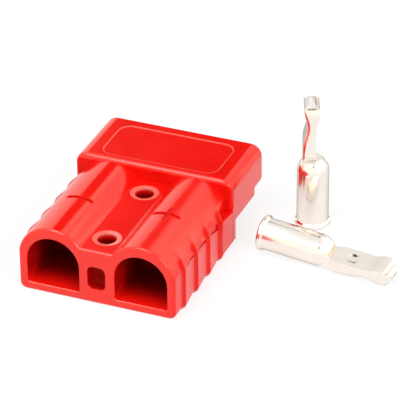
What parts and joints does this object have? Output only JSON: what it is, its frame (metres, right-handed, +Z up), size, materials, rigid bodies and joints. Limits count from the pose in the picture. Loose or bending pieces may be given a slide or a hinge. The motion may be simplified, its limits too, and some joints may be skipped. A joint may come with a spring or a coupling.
{
  "type": "genderless power connector",
  "caption": "Red genderless two-pole power connector housing with ribbed sides, shown with its two crimp contacts taken out beside it.",
  "frame": {"origin": "midway between the two mounting holes, in the plane of the flat base", "axes": "+Y to the mating end, +Z up out of the channel, +X to the side of the positive pole"},
  "size_m": [0.0731, 0.0512, 0.0307],
  "materials": {
    "red_plastic": "gloss",
    "silver_plate": "satin",
    "spring_steel": "satin"
  },
  "bodies": {
    "root": {"housing": "red_plastic", "leaf_spring_left": "spring_steel", "leaf_spring_right": "spring_steel", "contact_standing": "silver_plate", "contact_lying": "silver_plate"}
  },
  "joints": []
}
